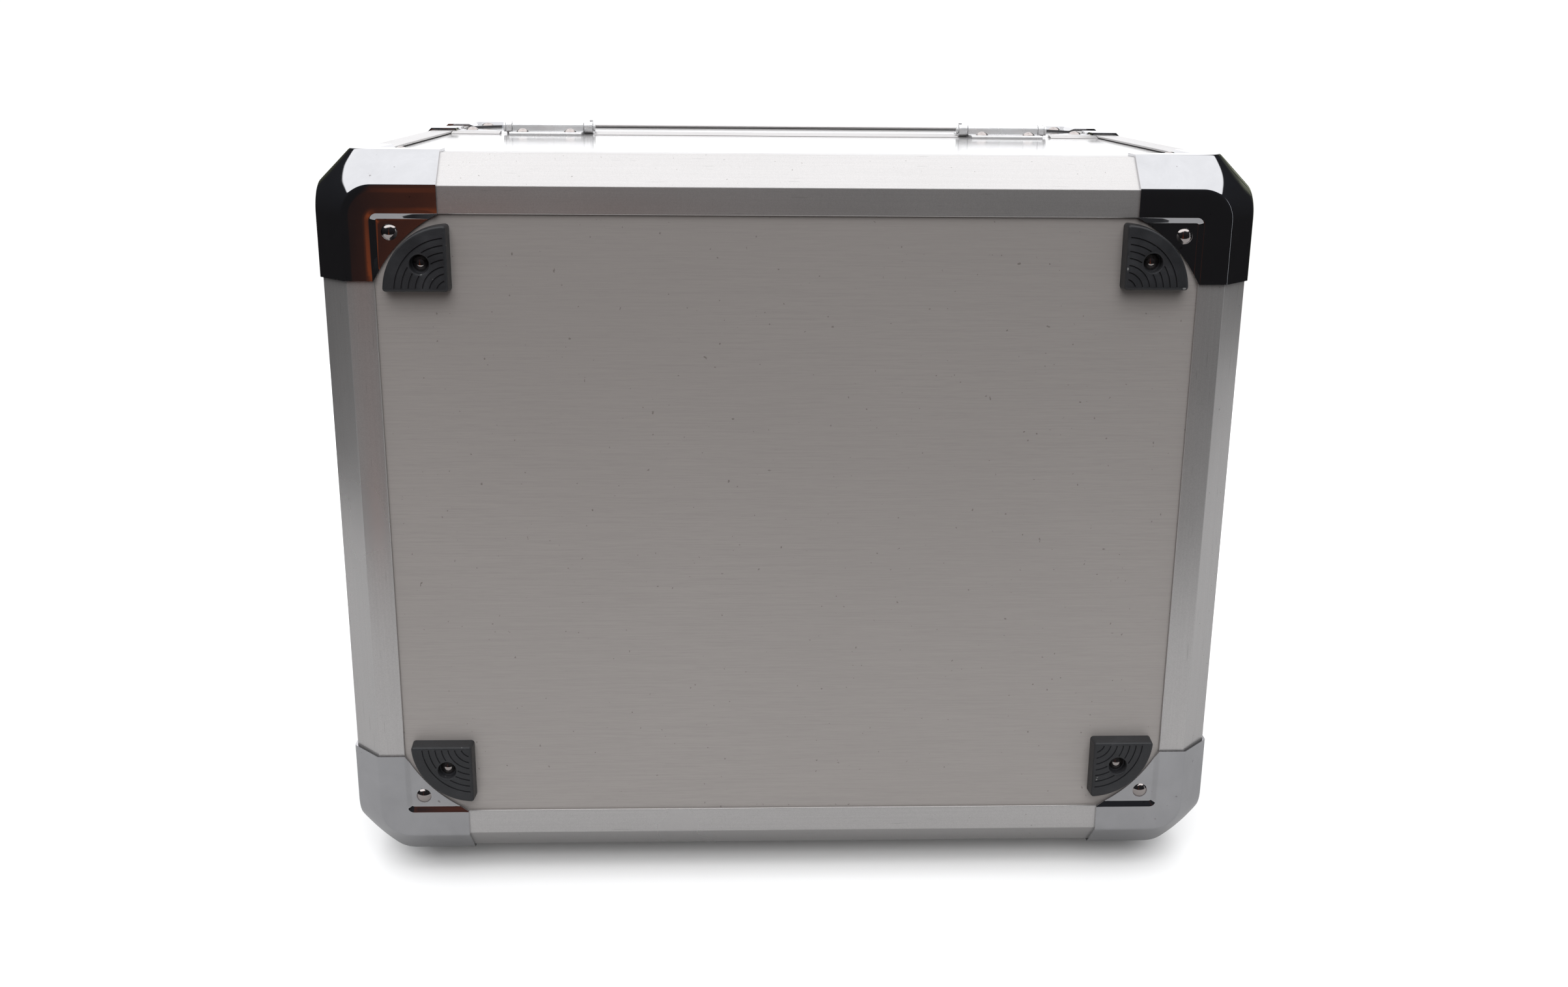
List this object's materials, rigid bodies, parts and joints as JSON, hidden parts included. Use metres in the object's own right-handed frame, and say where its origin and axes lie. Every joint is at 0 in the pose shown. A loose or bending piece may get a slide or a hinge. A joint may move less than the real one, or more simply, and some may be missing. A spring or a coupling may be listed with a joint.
{
  "type": "radio transmitter case",
  "caption": "Aluminium framed carrying case with a hinged lid, draw latches, folding handle and foam pockets for a radio transmitter.",
  "frame": {"origin": "centre of the footprint, on the surface that the case stands on when it stands on its front side, as pictured", "axes": "+X along the hinge line, +Y from the footed bottom towards the lid, +Z from the front (latch and handle) wall up to the rear (hinge) wall"},
  "size_m": [0.3996, 0.3176, 0.3411],
  "materials": {
    "panel_skin": "brushed aluminium skin, hairlines along the width",
    "board": "plywood board behind the skins",
    "extrusion": "satin anodised frame extrusion",
    "cap_chrome": "polished chromed steel corner cap",
    "rivet": "domed nickel plated rivet",
    "foot_plastic": "ribbed dark grey moulded plastic",
    "hinge_chrome": "chromed steel hinge",
    "latch_chrome": "chromed steel latch",
    "handle_steel": "plated steel handle bail",
    "grip_rubber": "soft black moulded grip",
    "foam": "open-cell foam"
  },
  "bodies": {
    "base": {"bottom_skin": "panel_skin", "base_rear_skin": "panel_skin", "base_front_skin": "panel_skin", "base_left_skin": "panel_skin", "base_right_skin": "panel_skin", "base_boards": "board", "base_frame_rails": "extrusion", "base_corner_posts": "extrusion", "base_rim_rails": "extrusion", "base_cap_rear_left": "cap_chrome", "base_cap_rear_right": "cap_chrome", "base_cap_front_left": "cap_chrome", "base_cap_front_right": "cap_chrome", "base_cap_rivets": "rivet", "foot_rear_left": "foot_plastic", "foot_rear_right": "foot_plastic", "foot_front_left": "foot_plastic", "foot_front_right": "foot_plastic", "foot_rivets": "rivet", "hinge_left_base_leaf": "hinge_chrome", "hinge_right_base_leaf": "hinge_chrome", "hinge_pins": "hinge_chrome", "base_hinge_rivets": "rivet", "latch_housing_left": "latch_chrome", "latch_housing_right": "latch_chrome", "latch_pivot_pins": "latch_chrome", "handle_bracket_left": "handle_steel", "handle_bracket_right": "handle_steel", "handle_pivot_pins": "handle_steel", "front_fitting_rivets": "rivet", "foam_floor_pad": "foam", "foam_insert": "foam"},
    "lid": {"lid_top_skin": "panel_skin", "lid_rear_skin": "panel_skin", "lid_front_skin": "panel_skin", "lid_left_skin": "panel_skin", "lid_right_skin": "panel_skin", "lid_boards": "board", "lid_frame_rails": "extrusion", "lid_corner_posts": "extrusion", "lid_rim_rails": "extrusion", "lid_cap_rear_left": "cap_chrome", "lid_cap_rear_right": "cap_chrome", "lid_cap_front_left": "cap_chrome", "lid_cap_front_right": "cap_chrome", "lid_rim_plates": "cap_chrome", "lid_cap_rivets": "rivet", "lid_fitting_rivets": "rivet", "lid_foam": "foam", "hinge_left_lid_leaf": "hinge_chrome", "hinge_right_lid_leaf": "hinge_chrome", "latch_strikes": "latch_chrome"},
    "handle": {"handle_bail": "handle_steel", "handle_grip": "grip_rubber"},
    "latch_lever_left": {"latch_lever_left": "latch_chrome"},
    "latch_lever_right": {"latch_lever_right": "latch_chrome"},
    "latch_hook_left": {"latch_hook_left": "latch_chrome"},
    "latch_hook_right": {"latch_hook_right": "latch_chrome"}
  },
  "joints": [
    {"name": "lid_hinge", "type": "hinge", "parent": "base", "child": "lid", "pos_m": [0, 0.0532, 0.3373], "axis": [1, 0, 0], "range_deg": [0, 95]},
    {"name": "handle_pivot", "type": "hinge", "parent": "base", "child": "handle", "pos_m": [0, -0.0548, 0.007], "axis": [1, 0, 0], "range_deg": [0, 100]},
    {"name": "latch_lever_left_pivot", "type": "hinge", "parent": "base", "child": "latch_lever_left", "pos_m": [-0.112, 0.0372, 0.0074], "axis": [1, 0, 0], "range_deg": [0, 110]},
    {"name": "latch_hook_left_pivot", "type": "hinge", "parent": "latch_lever_left", "child": "latch_hook_left", "pos_m": [-0.112, 0.0302, 0.0094], "axis": [1, 0, 0], "range_deg": [-110, 0]},
    {"name": "latch_lever_right_pivot", "type": "hinge", "parent": "base", "child": "latch_lever_right", "pos_m": [0.112, 0.0372, 0.0074], "axis": [1, 0, 0], "range_deg": [0, 110]},
    {"name": "latch_hook_right_pivot", "type": "hinge", "parent": "latch_lever_right", "child": "latch_hook_right", "pos_m": [0.112, 0.0302, 0.0094], "axis": [1, 0, 0], "range_deg": [-110, 0]}
  ],
  "couplings": [
    {"joint": "latch_hook_left_pivot", "follows": "latch_lever_left_pivot", "ratio": -1},
    {"joint": "latch_hook_right_pivot", "follows": "latch_lever_right_pivot", "ratio": -1}
  ]
}
